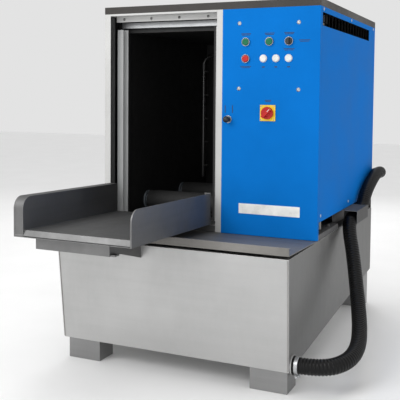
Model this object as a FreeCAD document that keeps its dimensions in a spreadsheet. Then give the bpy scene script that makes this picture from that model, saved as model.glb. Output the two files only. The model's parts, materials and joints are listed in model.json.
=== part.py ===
"""Automatic wheel washing machine: water tank on feet, spray cabinet, sliding door, loading tray.

Millimetres. +X is to the right seen from the operator, +Y runs from the operator to the back, +Z is up.
The origin is on the floor, under the middle of the machine.

Drawing coordinates are easier to read, so every position below is counted from the cabinet's own
corner: x from the left side of the cabinet, y from the front of the cabinet, z from the floor.
The functions that place a piece add the two offsets to the origin.
"""
import FreeCAD, Part
import math
import os

import Sketcher

doc = FreeCAD.newDocument("WheelWasher")
Vector = FreeCAD.Vector
Rotation = FreeCAD.Rotation
Placement = FreeCAD.Placement

# ---------------------------------------------------------------- driving dimensions

DRIVING = {
    # whole machine
    "width": 940, "depth": 1005, "height": 1400,
    "skin": 2, "plate": 3,
    # tank
    "tank_top": 477, "tank_reach": 349, "tank_taper": 20,
    "tank_front_bottom": 80, "tank_rear_bottom": 169, "rim_width": 30,
    "foot_width": 138, "foot_depth": 98, "foot_inset_left": 37, "foot_inset_right": 8,
    "front_foot_start": 28, "rear_foot_end": 25,
    "lip_bottom": 488, "lip_top": 517,
    # cabinet
    "cover_rise": 29, "panel_bottom": 481, "side_bottom": 549,
    "post_left": 28, "post_depth": 36, "opening_right": 518, "post_middle": 25,
    "header_rise": 8, "chamber_front": 115, "chamber_top": 1310,
    "mouth_left": 56, "mouth_right": 505, "mouth_bottom": 516, "mouth_top": 1300,
    "machine_left": 543,
    # door
    "door_front": 64, "door_thick": 16, "door_bottom": 515, "door_top": 1312,
    "door_lead": 476, "door_end": 933, "seal_width": 12, "door_travel": 416,
    "rail_front": 92, "rail_thick": 8, "rail_bottom": 1318, "rail_top": 1342,
    "hanger_roller": 9, "hanger_flange": 12, "hanger_axle": 4,
    # loading tray
    "tray_reach": 651, "tray_back_gap": 10, "tray_left": 29, "tray_right": 502,
    "tray_side_box": 40, "tray_drop": 18, "tray_front_bottom": 531, "tray_floor_rise": 25,
    "tray_left_top": 673, "tray_right_top": 656,
    # wheel drive
    "roller_radius": 45, "roller_height": 545, "roller_front": 330, "roller_back": 700,
    "shaft_radius": 15, "roller_pulley": 48, "motor_pulley": 32, "pulley_left": 575,
    "pulley_width": 30, "motor_height": 760,
    # pump and suction hose
    "pump_side": 780, "pump_height": 590, "pump_back": 835, "pump_radius": 90, "pump_length": 70,
    "pump_motor": 70, "hose_radius": 29,
    "guard_front": 390, "guard_back": 600, "guard_low": 494, "guard_top": 548, "guard_inner": 897,
    "guard_outside": 1007,
    "spigot_back": -290, "spigot_height": 98, "spigot_radius": 24,
    # controls on the front panel
    "button_row": 1241, "lamp_row": 1176, "button_hole": 11.25, "button_travel": 4,
    "switch_side": 736, "switch_height": 965, "switch_plate": 62,
    "lever_side": 571, "lever_height": 938,
}

CLEAR = 0.06      # running clearance of a shaft in its bearing, on the radius
GAP = 0.4         # gap between moving curved faces that only roll along each other


class Size:
    """A number together with the spreadsheet formula that it comes from."""

    def __init__(self, value, text):
        self.value = float(value)
        self.text = text

    def __add__(self, other):
        other = size(other)
        return Size(self.value + other.value, f"({self.text} + {other.text})")

    def __sub__(self, other):
        other = size(other)
        return Size(self.value - other.value, f"({self.text} - {other.text})")

    def __mul__(self, other):
        other = size(other)
        return Size(self.value * other.value, f"({self.text} * {other.text})")

    def __truediv__(self, other):
        other = size(other)
        return Size(self.value / other.value, f"({self.text} / {other.text})")

    def __neg__(self):
        return Size(-self.value, f"(-{self.text})")

    def __radd__(self, other):
        return size(other) + self

    def __rsub__(self, other):
        return size(other) - self

    def __rmul__(self, other):
        return size(other) * self


def size(value):
    """Any number as a Size."""
    if isinstance(value, Size):
        return value
    return Size(value, f"({float(value):.6g})")


class Sheet:
    """The driving dimensions, one attribute each."""


s = Sheet()
sheet = doc.addObject("Spreadsheet::Sheet", "Sizes")
for row, (alias, number) in enumerate(DRIVING.items(), start=1):
    sheet.set(f"A{row}", alias)
    sheet.set(f"B{row}", str(number))
    sheet.setAlias(f"B{row}", alias)
    setattr(s, alias, Size(number, f"Sizes.{alias}"))
doc.recompute()

# where drawing coordinates start, seen from the origin
LEFT = -s.width / 2
FRONT = (s.tray_reach - s.depth) / 2
WALL_TOP = s.height - s.cover_rise
NODES = {}


# ---------------------------------------------------------------- helpers

def bind(obj, name, value):
    obj.setExpression(name, size(value).text)


def place(obj, at):
    """Put an object's own origin at a point given in drawing coordinates."""
    bind(obj, "Placement.Base.x", LEFT + at[0])
    bind(obj, "Placement.Base.y", FRONT + at[1])
    bind(obj, "Placement.Base.z", size(at[2]))


def node(name, obj):
    """Name a finished sub-part, which is written to its own file."""
    obj.Label = name
    NODES[name] = obj
    return obj


def box(name, dims, at):
    obj = doc.addObject("Part::Box", name)
    for side, value in zip(("Length", "Width", "Height"), dims):
        bind(obj, side, value)
    place(obj, at)
    return obj


def slab(name, low, high):
    """A box between two opposite corners."""
    return box(name, [size(b) - a for a, b in zip(low, high)], low)


TURN = {
    "x": Rotation(Vector(0, 1, 0), 90),
    "y": Rotation(Vector(1, 0, 0), -90),
    "z": Rotation(),
}


def rod(name, radius, length, at, along="z"):
    """A round bar that starts at a point and runs along +x, +y or +z."""
    obj = doc.addObject("Part::Cylinder", name)
    bind(obj, "Radius", radius)
    bind(obj, "Height", length)
    obj.Placement = Placement(Vector(), TURN[along])
    place(obj, at)
    return obj


def fuse(name, pieces):
    obj = doc.addObject("Part::MultiFuse", name)
    obj.Shapes = pieces
    return obj


def group(name, pieces):
    """Separate solids that share one node."""
    obj = doc.addObject("Part::Compound", name)
    obj.Links = pieces
    return obj


def cut(name, base, tools):
    obj = doc.addObject("Part::Cut", name)
    obj.Base = base
    obj.Tool = tools[0] if len(tools) == 1 else fuse(f"{name}_tools", tools)
    return obj


def plane_of(body, role):
    for feature in body.Origin.OriginFeatures:
        if feature.Role == role:
            return feature
    raise ValueError(role)


def sketch_on(body, role, name):
    sketch = body.newObject("Sketcher::SketchObject", name)
    sketch.AttachmentSupport = [(plane_of(body, role), "")]
    sketch.MapMode = "FlatFace"
    return sketch


def pin_point(sketch, edge, end, across, up):
    """Fix one point of a sketch at two sizes counted from the sketch's origin."""
    for kind, value, axis in (("DistanceX", size(across), -2), ("DistanceY", size(up), -1)):
        if abs(value.value) < 1e-9:
            sketch.addConstraint(Sketcher.Constraint("PointOnObject", edge, end, axis))
        else:
            rule = sketch.addConstraint(Sketcher.Constraint(kind, -1, 1, edge, end, value.value))
            sketch.setExpression(f"Constraints[{rule}]", value.text)


def outline(sketch, corners):
    """A closed outline of straight edges through the given corners."""
    points = [Vector(size(a).value, size(b).value, 0) for a, b in corners]
    first = sketch.GeometryCount
    count = len(points)
    for i in range(count):
        sketch.addGeometry(Part.LineSegment(points[i], points[(i + 1) % count]), False)
    for i in range(count):
        following = first + (i + 1) % count
        sketch.addConstraint(Sketcher.Constraint("Coincident", first + i, 2, following, 1))
    for i, (across, up) in enumerate(corners):
        pin_point(sketch, first + i, 1, across, up)


def circle(sketch, across, up, radius):
    centre = Vector(size(across).value, size(up).value, 0)
    edge = sketch.addGeometry(Part.Circle(centre, Vector(0, 0, 1), size(radius).value), False)
    rule = sketch.addConstraint(Sketcher.Constraint("Radius", edge, size(radius).value))
    sketch.setExpression(f"Constraints[{rule}]", size(radius).text)
    pin_point(sketch, edge, 3, across, up)


def padded(name, role, corners, length, at, backwards=False):
    """A PartDesign body: an outline on a plane of the body, padded to a length.

    On XY_Plane the pad runs along +z, on YZ_Plane along +x, and on XZ_Plane along +y.
    """
    body = doc.addObject("PartDesign::Body", name)
    sketch = sketch_on(body, role, f"{name}_outline")
    outline(sketch, corners)
    pad = body.newObject("PartDesign::Pad", f"{name}_pad")
    pad.Profile = sketch
    bind(pad, "Length", length)
    pad.Reversed = (role == "XZ_Plane") != backwards
    place(body, at)
    return body


def drill(body, role, circles, length, flip=False):
    """Pocket round holes, given as (across, up, radius), through a body."""
    sketch = sketch_on(body, role, f"{body.Name}_holes")
    for across, up, radius in circles:
        circle(sketch, across, up, radius)
    pocket = body.newObject("PartDesign::Pocket", f"{body.Name}_pocket")
    pocket.Profile = sketch
    bind(pocket, "Length", length)
    pocket.Reversed = flip
    return pocket


def turned(name, profile, at, along="y"):
    """A turned piece: corners given as (radius, distance along the axis), turned about the axis."""
    body = doc.addObject("PartDesign::Body", name)
    sketch = sketch_on(body, "XY_Plane", f"{name}_profile")
    outline(sketch, profile)
    turn = body.newObject("PartDesign::Revolution", f"{name}_turn")
    turn.Profile = sketch
    turn.ReferenceAxis = (sketch, ["V_Axis"])
    turn.Angle = 360
    if along == "x":
        body.Placement = Placement(Vector(), Rotation(Vector(0, 0, 1), -90))
    if along == "z":
        body.Placement = Placement(Vector(), Rotation(Vector(1, 0, 0), 90))
    place(body, at)
    return body


def round_edges(body, radius, chosen):
    """Fillet the edges of a body for which chosen(edge) is true."""
    doc.recompute()
    feature = body.Tip
    names = [f"Edge{i}" for i, edge in enumerate(feature.Shape.Edges, start=1) if chosen(edge)]
    fillet = body.newObject("PartDesign::Fillet", f"{body.Name}_round")
    fillet.Base = (feature, names)
    bind(fillet, "Radius", radius)
    body.Tip = fillet
    return fillet


def bent_path(points, bend=None):
    """A wire of straight runs joined by tangent arcs, and the radius of each arc.

    With no bend given, each arc is as large as its two runs allow.
    """
    runs = [b - a for a, b in zip(points, points[1:])]
    start = points[0]
    edges = []
    radii = []
    for i in range(1, len(points) - 1):
        into = Vector(runs[i - 1]).normalize()
        out = Vector(runs[i]).normalize()
        half = into.getAngle(out) / 2
        radius = bend or 0.45 * min(runs[i - 1].Length, runs[i].Length) / math.tan(half)
        setback = radius * math.tan(half)
        first = points[i] - into * setback
        last = points[i] + out * setback
        towards = (out - into).normalize()
        middle = points[i] + towards * (radius / math.cos(half) - radius)
        edges.append(Part.LineSegment(start, first).toShape())
        edges.append(Part.Arc(first, middle, last).toShape())
        start = last
        radii.append(radius)
    edges.append(Part.LineSegment(start, points[-1]).toShape())
    return Part.Wire(edges), radii


def tube(name, route, radius, bore=None, bend=None):
    """A round tube along a route given in drawing coordinates."""
    points = [Vector(x + LEFT.value, y + FRONT.value, z) for x, y, z in route]
    path, radii = bent_path(points, bend)
    first = (points[1] - points[0]).normalize()

    def swept(r):
        ring = Part.Wire([Part.Circle(points[0], first, r).toShape()])
        return path.makePipeShell([ring], True, False)

    shape = swept(radius)
    if bore:
        shape = shape.cut(swept(bore))
    obj = doc.addObject("Part::Feature", name)
    obj.Shape = shape
    obj.Placement = Placement()
    area = math.pi * (radius ** 2 - (bore or 0) ** 2)
    print(f"{name}: length {path.Length:.0f}, volume over section x length "
          f"{shape.Volume / (area * path.Length):.4f}, radii {[round(r) for r in radii]}")
    return obj


# ---------------------------------------------------------------- tank

def tank_floor(y):
    """Height of the underside of the tank at a distance from the cabinet's front."""
    low_front = -s.tank_reach + s.tank_taper
    rise = (s.tank_rear_bottom - s.tank_front_bottom) / (s.depth - low_front)
    return s.tank_front_bottom + rise * (size(y) - low_front)


def tank_body(name, inset):
    """The tank's outer or inner form: a box with a sloping floor, leaning front and left walls."""
    front_top = -s.tank_reach + inset
    front_low = front_top + s.tank_taper
    back = s.depth - inset
    top = s.tank_top + inset
    low = tank_floor(front_low) + inset
    form = padded(
        name, "YZ_Plane",
        [(front_low, low), (front_top, top), (back, top), (back, tank_floor(back) + inset)],
        s.width - 2 * inset, (inset, 0, 0),
    )
    # the left wall leans in towards the floor
    slope = sketch_on(form, "XZ_Plane", f"{name}_lean")
    outline(slope, [(-1, top + 1), (0, top), (s.tank_taper, s.tank_front_bottom),
                    (s.tank_taper, 0), (-1, 0)])
    lean = form.newObject("PartDesign::Pocket", f"{name}_lean_cut")
    lean.Profile = slope
    lean.Type = 1
    lean.Midplane = True
    return form


def make_tank():
    wall = s.plate
    outer = tank_body("tank_outer", size(0))
    inner = tank_body("tank_inner", wall)
    shell = cut("tank_shell", outer, [inner])
    rim_low = s.tank_top - wall
    rim_outer = slab("rim_outer", (wall / 2, -s.tank_reach + wall / 2, rim_low),
                     (s.width - wall / 2, s.depth - wall / 2, s.tank_top))
    rim_inner = slab("rim_inner", (s.rim_width, -s.tank_reach + s.rim_width, rim_low - 1),
                     (s.width - s.rim_width, s.depth - s.rim_width, s.tank_top + 1))
    rim = cut("tank_rim", rim_outer, [rim_inner])
    welded = fuse("tank_welded", [shell, rim])
    hole = rod("spigot_hole", s.spigot_radius - 2, 20,
               (s.width - 10, s.spigot_back, s.spigot_height), "x")
    node("tank_tub", cut("tank_tub", welded, [hole]))


def make_foot(name, x, y):
    """One box foot, folded from plate, whose top follows the sloping floor of the tank."""
    wall = size(4)
    def form(part, inset):
        low = 0 + inset
        return padded(
            part, "YZ_Plane",
            [(inset, low), (inset, tank_floor(y + inset) - inset),
             (s.foot_depth - inset, tank_floor(y + s.foot_depth - inset) - inset),
             (s.foot_depth - inset, low)],
            s.foot_width - 2 * inset, (x + inset, y, 0),
        )
    return cut(name, form(f"{name}_outer", size(0)), [form(f"{name}_inner", wall)])


def make_feet():
    left = s.foot_inset_left
    right = s.width - s.foot_inset_right - s.foot_width
    front = -s.tank_reach + s.front_foot_start
    rear = s.depth - s.rear_foot_end - s.foot_depth
    node("front_feet", group("front_feet", [make_foot("foot_front_left", left, front),
                                            make_foot("foot_front_right", right, front)]))
    node("rear_feet", group("rear_feet", [make_foot("foot_rear_left", left, rear),
                                          make_foot("foot_rear_right", right, rear)]))


def make_drip_ledge():
    """The apron over the front of the tank: a lip at its front edge, sloping back into the tank."""
    t = s.skin
    reach = s.tank_reach
    back = s.tank_top + 1
    ledge = padded(
        "drip_ledge", "YZ_Plane",
        [(-reach, s.lip_bottom), (-reach, s.lip_top), (-reach + 9, s.lip_top),
         (-reach + 9, s.lip_top - t), (-reach + t, s.lip_top - t), (-reach + t, s.lip_bottom + t),
         (-2, back + t), (-2, back)],
        s.width, (0, 0, 0),
    )
    node("drip_ledge", ledge)


def make_sieve():
    """The slotted plate over the water that catches the washing granulate."""
    top = size(433)
    plate = slab("sieve_sheet", (14, 12, top - s.plate), (532, 992, top))
    slots = []
    for i in range(12):
        for j in range(2):
            slots.append(box(f"sieve_slot_{i}_{j}", (215, 22, 10), (40 + 250 * j, 60 + 76 * i, 425)))
    screen = cut("sieve_screen", plate, slots)
    hangers = [rod(f"sieve_hanger_{i}", 4, s.tank_top - s.plate - top, (x, y, top))
               for i, (x, y) in enumerate(((22, 40), (22, 950)))]
    hangers += [rod(f"sieve_hook_{i}", 4, s.tank_top - top, (528, y, top))
                for i, y in enumerate((40, 950))]
    node("sieve_plate", fuse("sieve_plate", [screen] + hangers))


# ---------------------------------------------------------------- cabinet shell

def make_cabinet():
    w, d, t = s.width, s.depth, s.skin
    base = s.tank_top
    node("left_wall", slab("left_wall", (0, s.post_depth, base), (t, d, WALL_TOP)))
    rear = padded("rear_wall", "XZ_Plane",
                  [(0, 0), (w - 2 * t, 0), (w - 2 * t, WALL_TOP - base), (0, WALL_TOP - base)],
                  t, (t, d - t, base))
    drill(rear, "XZ_Plane", [(s.pump_side - t, s.pump_height - base, s.hose_radius + 2)], 10)
    rear.Tip.Midplane = True
    node("rear_wall", rear)

    cover = cut("top_cover", slab("cover_outer", (0, 0, WALL_TOP), (w, d, s.height)),
                [slab("cover_inner", (t, t, WALL_TOP - 1), (w - t, d - t, s.height - t))])
    node("top_cover", cover)
    node("header_rail", slab("header_rail", (s.post_left, 0, WALL_TOP - s.header_rise),
                             (s.opening_right, s.post_depth, WALL_TOP)))

    def post(name, x, width):
        """A post folded from sheet, open towards the back."""
        rim = s.post_depth
        node(name, padded(
            name, "XY_Plane",
            [(0, 0), (width, 0), (width, rim), (width - t, rim), (width - t, t), (t, t), (t, rim),
             (0, rim)],
            WALL_TOP - s.panel_bottom, (x, 0, s.panel_bottom)))

    post("front_left_post", size(0), s.post_left)
    post("front_middle_post", s.opening_right, s.post_middle)

    floor = slab("machine_floor", (534, 0, base), (w - t, d - t, base + s.plate))
    front_rail = slab("base_rail_front", (898, 22, base), (w - t, 330, base + 22))
    rear_rail = slab("base_rail_rear", (898, 706, base), (w - t, 890, base + 22))
    bolts = [rod(f"base_bolt_{i}", 6, 8, (918, y, base + 22)) for i, y in enumerate((74, 249))]
    node("machine_base", fuse("machine_base", [floor, front_rail, rear_rail] + bolts))


def make_guard():
    """The bent bracket under the right panel: the suction hose runs through it."""
    t = s.plate
    floor, top, outside = s.tank_top + t, s.guard_top, s.guard_outside
    bracket = padded(
        "hose_guard", "XZ_Plane",
        [(s.guard_inner, floor), (s.guard_inner, top), (outside, top), (outside, s.guard_low),
         (outside - t, s.guard_low), (outside - t, top - t), (s.guard_inner + t, top - t),
         (s.guard_inner + t, floor)],
        s.guard_back - s.guard_front, (0, s.guard_front, 0))
    round_edges(bracket, 2.5, lambda edge: (abs(edge.BoundBox.ZLength) < 0.1 and
                                            edge.BoundBox.YLength > 50 and
                                            edge.CenterOfMass.x > outside.value - 0.5 and
                                            edge.CenterOfMass.z > top.value - 0.5))
    node("hose_guard", bracket)


def make_panels():
    """The two blue covers of the machine room."""
    w, d, t = s.width, s.depth, s.skin
    left, low = s.machine_left, s.panel_bottom
    wide, high = w - left, WALL_TOP - low
    fold = size(20)
    front = padded("front_panel", "XY_Plane",
                   [(0, 0), (wide, 0), (wide, fold), (wide - t, fold), (wide - t, t), (t, t),
                    (t, fold), (0, fold)], high, (left, 0, low))
    spots = [(x - left, z - low, s.button_hole) for x, z in BUTTONS + SELECTORS + LAMPS]
    spots.append((s.switch_side - left, s.switch_height - low, 20))
    spots.append((s.lever_side - left, s.lever_height - low, 11))
    drill(front, "XZ_Plane", spots, 10)
    front.Tip.Midplane = True
    node("front_panel", front)

    panel = slab("side_sheet", (w - t, fold, s.side_bottom), (w, d - t, WALL_TOP))
    slot = slab("vent_slot", (w - 2 * t, 28, 1299), (w + t, 868, 1350))
    node("side_panel", cut("side_panel", panel, [slot]))
    screen = slab("screen_sheet", (w - 3 * t, 24, 1294), (w - 2 * t, 872, 1355))
    gaps = [slab(f"screen_gap_{i}", (w - 4 * t, 40 + 52 * i, 1302), (w, 80 + 52 * i, 1347))
            for i in range(16)]
    node("vent_screen", cut("vent_screen", screen, gaps))
    node("label_plate", slab("label_plate", (619, -0.8, 566), (870, 0, 606)))


def make_chamber():
    """The wet side: partition, roof, front frame with its mouth, and the door jamb and sill."""
    t, d = s.skin, s.depth
    low = s.tank_top + s.plate
    front = s.chamber_front
    wall = slab("partition_sheet", (s.machine_left - t, front + 3, low),
                (s.machine_left, d - t, s.chamber_top))
    holes = [rod(f"partition_hole_{i}", r, 12, (s.machine_left - 6, y, z), "x")
             for i, (y, z, r) in enumerate(((s.roller_front, s.roller_height, 17),
                                            (s.roller_back, s.roller_height, 17),
                                            (900, 1240, 12)))]
    liner = slab("liner_sheet", (30, front + 3, low), (32, d - t, s.chamber_top))
    node("chamber_walls", group("chamber_walls", [cut("partition_wall", wall, holes), liner]))
    node("chamber_roof", slab("chamber_roof", (t, front + 3, s.chamber_top),
                              (s.machine_left, d - t, s.chamber_top + t)))
    frame = slab("frame_sheet", (t, front, low), (s.machine_left, front + 3, 1345))
    strip = slab("frame_strip", (s.machine_left - 1, front, s.door_top), (s.door_end, front + 3, 1345))
    mouth = slab("frame_mouth", (s.mouth_left, front - 1, s.mouth_bottom),
                 (s.mouth_right, front + 4, s.mouth_top))
    node("chamber_frame", cut("chamber_frame", fuse("frame_blank", [frame, strip]), [mouth]))
    node("door_sill", slab("door_sill", (s.post_left, 4, low + 1), (s.opening_right, front, 508)))
    jamb = padded("door_jamb", "XY_Plane",
                  [(0, 0), (28, 0), (28, t), (t, t), (t, 28), (36, 28), (36, 30), (0, 30)],
                  800, (s.post_left, 58, 510))
    node("door_jamb", jamb)


# ---------------------------------------------------------------- sliding door

HANGERS = (560, 860)
COVER_SCREWS = [66 + 130.5 * i for i in range(7)]


def make_door():
    t = s.skin
    front, back = s.door_front, s.door_front + s.door_thick
    lead, end = s.door_lead, s.door_end
    pan = slab("leaf_outer", (lead + s.seal_width, front, s.door_bottom), (end, back, s.door_top))
    hollow = slab("leaf_inner", (lead + s.seal_width + t, front + t, s.door_bottom + t),
                  (end - t, back + 1, s.door_top - t))
    ribs = [slab(f"leaf_rib_{i}", (x - 30, front + t, s.door_bottom + t), (x + 30, back, s.door_top - t))
            for i, x in enumerate(HANGERS + (710,))]
    node("door_leaf", fuse("door_leaf", [cut("leaf_pan", pan, [hollow])] + ribs))
    node("door_seal", padded(
        "door_seal", "XY_Plane",
        [(0, 5), (3, 1), (s.seal_width, 0), (s.seal_width, s.door_thick), (3, 15), (0, 11)],
        s.door_top - s.door_bottom, (lead, front, s.door_bottom)))

    axle_height = s.rail_top + s.hanger_roller + GAP
    hangers = []
    for side, x in zip(("left", "right"), HANGERS):
        plate = slab(f"hanger_plate_{side}", (x - 25, back, 1240), (x + 25, back + 4, 1364))
        axle = rod(f"hanger_axle_{side}", s.hanger_axle, 20, (x, back + 4, axle_height), "y")
        head = rod(f"hanger_head_{side}", 6, 2, (x, back + 24, axle_height), "y")
        hangers.append(fuse(f"door_hanger_{side}", [plate, axle, head]))
        inner = s.hanger_axle + CLEAR
        wheel = turned(
            f"hanger_roller_{side}",
            [(inner, 0), (s.hanger_flange, 0), (s.hanger_flange, 2.4), (s.hanger_roller, 2.4),
             (s.hanger_roller, 11.4), (s.hanger_flange, 11.4), (s.hanger_flange, 13.6), (inner, 13.6)],
            (x, s.rail_front - 2.9, axle_height))
        node(f"hanger_roller_{side}", wheel)
    node("door_hangers", group("door_hangers", hangers))

    shoe = slab("carriage_shoe", (680, 131, 1348), (740, 169, 1357))
    arm = slab("carriage_arm", (690, back, 1357), (730, 169, 1361))
    tab = slab("carriage_tab", (690, back, 1240), (730, back + 4, 1361))
    node("cylinder_carriage", fuse("cylinder_carriage", [shoe, arm, tab]))


def make_door_track():
    rail = slab("rail_bar", (30, s.rail_front, s.rail_bottom),
                (932, s.rail_front + s.rail_thick, s.rail_top))
    stub_length = s.chamber_front - s.rail_front - s.rail_thick
    stubs = [rod(f"rail_stub_{i}", 6, stub_length, (x, s.rail_front + s.rail_thick, 1328), "y")
             for i, x in enumerate((60, 270, 480, 690, 910))]
    node("door_rail", fuse("door_rail", [rail] + stubs))
    node("rail_cover", padded(
        "rail_cover", "YZ_Plane",
        [(14, 0), (14, 28), (0, 28), (0, 30), (16, 30), (16, 0)],
        904, (28, s.post_depth, WALL_TOP - 30)))
    heads = [rod(f"cover_screw_{i}", 4, 2, (x, s.post_depth + 12, WALL_TOP - 18), "y")
             for i, x in enumerate(COVER_SCREWS)]
    heads += [rod(f"panel_screw_{i}", 5, 2.5, (x, -2.5, z), "y")
              for i, (x, z) in enumerate(((614, 1314), (855, 1311), (614, 1059), (857, 1056)))]
    node("cover_screws", group("cover_screws", heads))

    barrel = slab("cylinder_barrel", (235, 135, s.chamber_top + s.skin), (770, 165, 1346))
    caps = [slab(f"cylinder_cap_{i}", (x, 132, s.chamber_top + s.skin), (x + 22, 168, 1349))
            for i, x in enumerate((214, 769))]
    node("door_cylinder", fuse("door_cylinder", [barrel] + caps))


# ---------------------------------------------------------------- loading tray

def tray_slope(y):
    """How far the tray has dropped at a distance from the cabinet's front, towards the cabinet."""
    run = s.tray_reach - s.tray_back_gap
    return s.tray_drop * (size(y) + s.tray_reach) / run


def tray_profile(name, y0, y1, low, top, x0, x1):
    """A piece of the tray along its length, with its floor parallel to the sloping tray floor."""
    return padded(
        name, "YZ_Plane",
        [(y0, low - tray_slope(y0)), (y0, top - tray_slope(y0)), (y1, top - tray_slope(y1)),
         (y1, low - tray_slope(y1))],
        size(x1) - x0, (x0, 0, 0))


def make_tray():
    reach, back = -s.tray_reach, -s.tray_back_gap
    low = s.tray_front_bottom
    floor_top = low + s.tray_floor_rise
    t = s.plate
    left, right, deep = s.tray_left, s.tray_right, s.tray_side_box

    pan = cut("tray_pan", tray_profile("tray_pan_outer", reach + 9, back, low, floor_top, left, right),
              [tray_profile("tray_pan_inner", reach + 18, back - t, low - 5, floor_top - t,
                            left + t, right - t)])
    lip = padded("tray_lip", "YZ_Plane",
                 [(reach + 12, low), (reach, low), (reach, low + 2.5), (reach + 6, low + 2.5),
                  (reach + 6, low + 5.5), (reach, low + 5.5), (reach + 9, floor_top),
                  (reach + 12, floor_top)],
                 right - left, (left, 0, 0))

    def front_corner(edge):
        """True for the edge across the tray at the top of its front."""
        mid = edge.CenterOfMass
        flat = abs(edge.BoundBox.YLength) < 0.1 and abs(edge.BoundBox.ZLength) < 0.1
        return flat and mid.y < reach.value + 5 and mid.z > floor_top.value + 20

    box_outer = tray_profile("tray_box_outer", reach, back, low, s.tray_left_top, left, left + deep)
    round_edges(box_outer, 42, front_corner)
    box_inner = tray_profile("tray_box_inner", reach + t, back - t, low + t, s.tray_left_top - t,
                             left + t, left + deep - t)
    round_edges(box_inner, 39, front_corner)
    strip_core = tray_profile("tray_strip_core", reach + 1.5, back, low, s.tray_left_top, left,
                              left + deep)
    round_edges(strip_core, 42, front_corner)
    strip = cut("tray_strip", slab("tray_strip_block", (left + 4, reach - 2, low + 7),
                                   (left + deep - 4, reach + 60, s.tray_left_top + 5)), [strip_core])
    side_box = cut("tray_side_box", box_outer, [box_inner, strip])
    side = tray_profile("tray_side_plate", reach, back, low, s.tray_right_top, right - 5, right)
    round_edges(side, 42, front_corner)
    rear_fold = slab("tray_rear_fold", (right - 26, back - 3, 545), (right, back, 640))
    node("loading_tray", fuse("loading_tray", [pan, lip, side_box, side, rear_fold]))

    under = floor_top - t
    bar = slab("crossbar_channel", (100, -620, 488), (400, -580, under - tray_slope(-580)))
    hollow = slab("crossbar_hollow", (97, -617, 491), (397, -583, under - tray_slope(-580) - 3))
    tab = slab("crossbar_tab", (400, -615, 488), (418, -585, 494))
    members = [cut("crossbar_pressed", bar, [hollow]), tab]
    for i, x in enumerate((130, 365)):
        members.append(padded(
            f"tray_arm_{i}", "YZ_Plane",
            [(-580, 495), (-347, 430), (-349, s.tank_top), (-352, s.tank_top + 3),
             (-352, under - tray_slope(-352)), (-580, under - tray_slope(-580))],
            5, (x, 0, 0)))
    node("tray_support", fuse("tray_support", members))


# ---------------------------------------------------------------- wheel drive

def make_wheel_drive():
    r, shaft = s.roller_radius, s.shaft_radius
    height = s.roller_height

    def roller(name, y, shaft_end):
        node(name, turned(
            name,
            [(0, 0), (shaft, 0), (shaft, 16), (r, 16), (r, 492), (shaft, 492), (shaft, shaft_end),
             (0, shaft_end)],
            (34, y, height), "x"))

    roller("drive_roller", s.roller_front, s.pulley_left + s.pulley_width - 32)
    roller("idler_roller", s.roller_back, 528)

    bearings = []
    for i, (x, y) in enumerate(((32, s.roller_front), (s.machine_left, s.roller_front),
                                (32, s.roller_back), (s.machine_left, s.roller_back))):
        inner = shaft + CLEAR
        bearings.append(turned(
            f"bearing_{i}",
            [(inner, 0), (42, 0), (42, 6), (28, 6), (26, 15), (inner, 15)], (x, y, height), "x"))
    node("roller_bearings", group("roller_bearings", bearings))

    def pulley(name, radius, bore, z):
        width = s.pulley_width
        return turned(
            name,
            [(bore, 0), (radius + 4, 0), (radius + 4, 2), (radius, 2), (radius, width - 2),
             (radius + 4, width - 2), (radius + 4, width), (bore, width)],
            (s.pulley_left, s.roller_front, z), "x")

    node("roller_pulley", pulley("roller_pulley", s.roller_pulley, shaft, height))
    motor_shaft = size(12)
    small = pulley("motor_pulley_disc", s.motor_pulley, motor_shaft, s.motor_height)
    stub = rod("motor_shaft", motor_shaft, 60, (s.pulley_left, s.roller_front, s.motor_height), "x")
    node("motor_pulley", fuse("motor_pulley", [small, stub]))

    gearbox = slab("gearbox_block", (612, s.roller_front - 85, s.motor_height - 60),
                   (700, s.roller_front + 85, s.motor_height + 60))
    bore = rod("gearbox_bore", motor_shaft + CLEAR, 40,
               (610, s.roller_front, s.motor_height), "x")
    can = rod("motor_can", 52, 170, (700, s.roller_front, s.motor_height), "x")
    spacers = [rod(f"gearbox_spacer_{i}", 8, 70, (s.machine_left, s.roller_front + dy,
                                                  s.motor_height + dz), "x")
               for i, (dy, dz) in enumerate(((-74, -48), (74, -48), (-74, 48), (74, 48)))]
    node("gearmotor", cut("gearmotor", fuse("gearmotor_block", [gearbox, can] + spacers), [bore]))
    make_belt()


def make_belt():
    """The flat belt, outside both pulleys, built from two arcs and two tangent runs."""
    gap = s.motor_height.value - s.roller_height.value
    wide, thick = 24, 5
    x = s.pulley_left.value + LEFT.value + 3
    y = s.roller_front.value + FRONT.value
    low, high = s.roller_height.value, s.motor_height.value

    def loop(extra):
        big = s.roller_pulley.value + extra
        small = s.motor_pulley.value + extra
        lean = math.asin((big - small) / gap)
        side, up = math.cos(lean), math.sin(lean)
        a = Vector(x, y - big * side, low + big * up)
        b = Vector(x, y - small * side, high + small * up)
        c = Vector(x, y + small * side, high + small * up)
        e = Vector(x, y + big * side, low + big * up)
        edges = [Part.LineSegment(a, b), Part.Arc(b, Vector(x, y, high + small), c),
                 Part.LineSegment(c, e), Part.Arc(e, Vector(x, y, low - big), a)]
        return Part.Face(Part.Wire([edge.toShape() for edge in edges]))

    band = loop(GAP + thick).cut(loop(GAP)).extrude(Vector(wide, 0, 0))
    obj = doc.addObject("Part::Feature", "drive_belt")
    obj.Shape = band
    obj.Placement = Placement()
    node("drive_belt", obj)


# ---------------------------------------------------------------- pump, pipes and hoses

SUCTION_ROUTE = [
    (946, -290, 98), (1048, -290, 98), (1114, -208, 106), (1126, -96, 124), (1104, 28, 158),
    (1070, 148, 216), (1038, 236, 300), (1008, 306, 392), (976, 366, 478), (973, 420, 514),
    (973, 622, 514), (973, 702, 590), (973, 868, 644), (973, 961, 659), (973, 1100, 652),
    (780, 1100, 590), (780, 871, 590),
]


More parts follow.
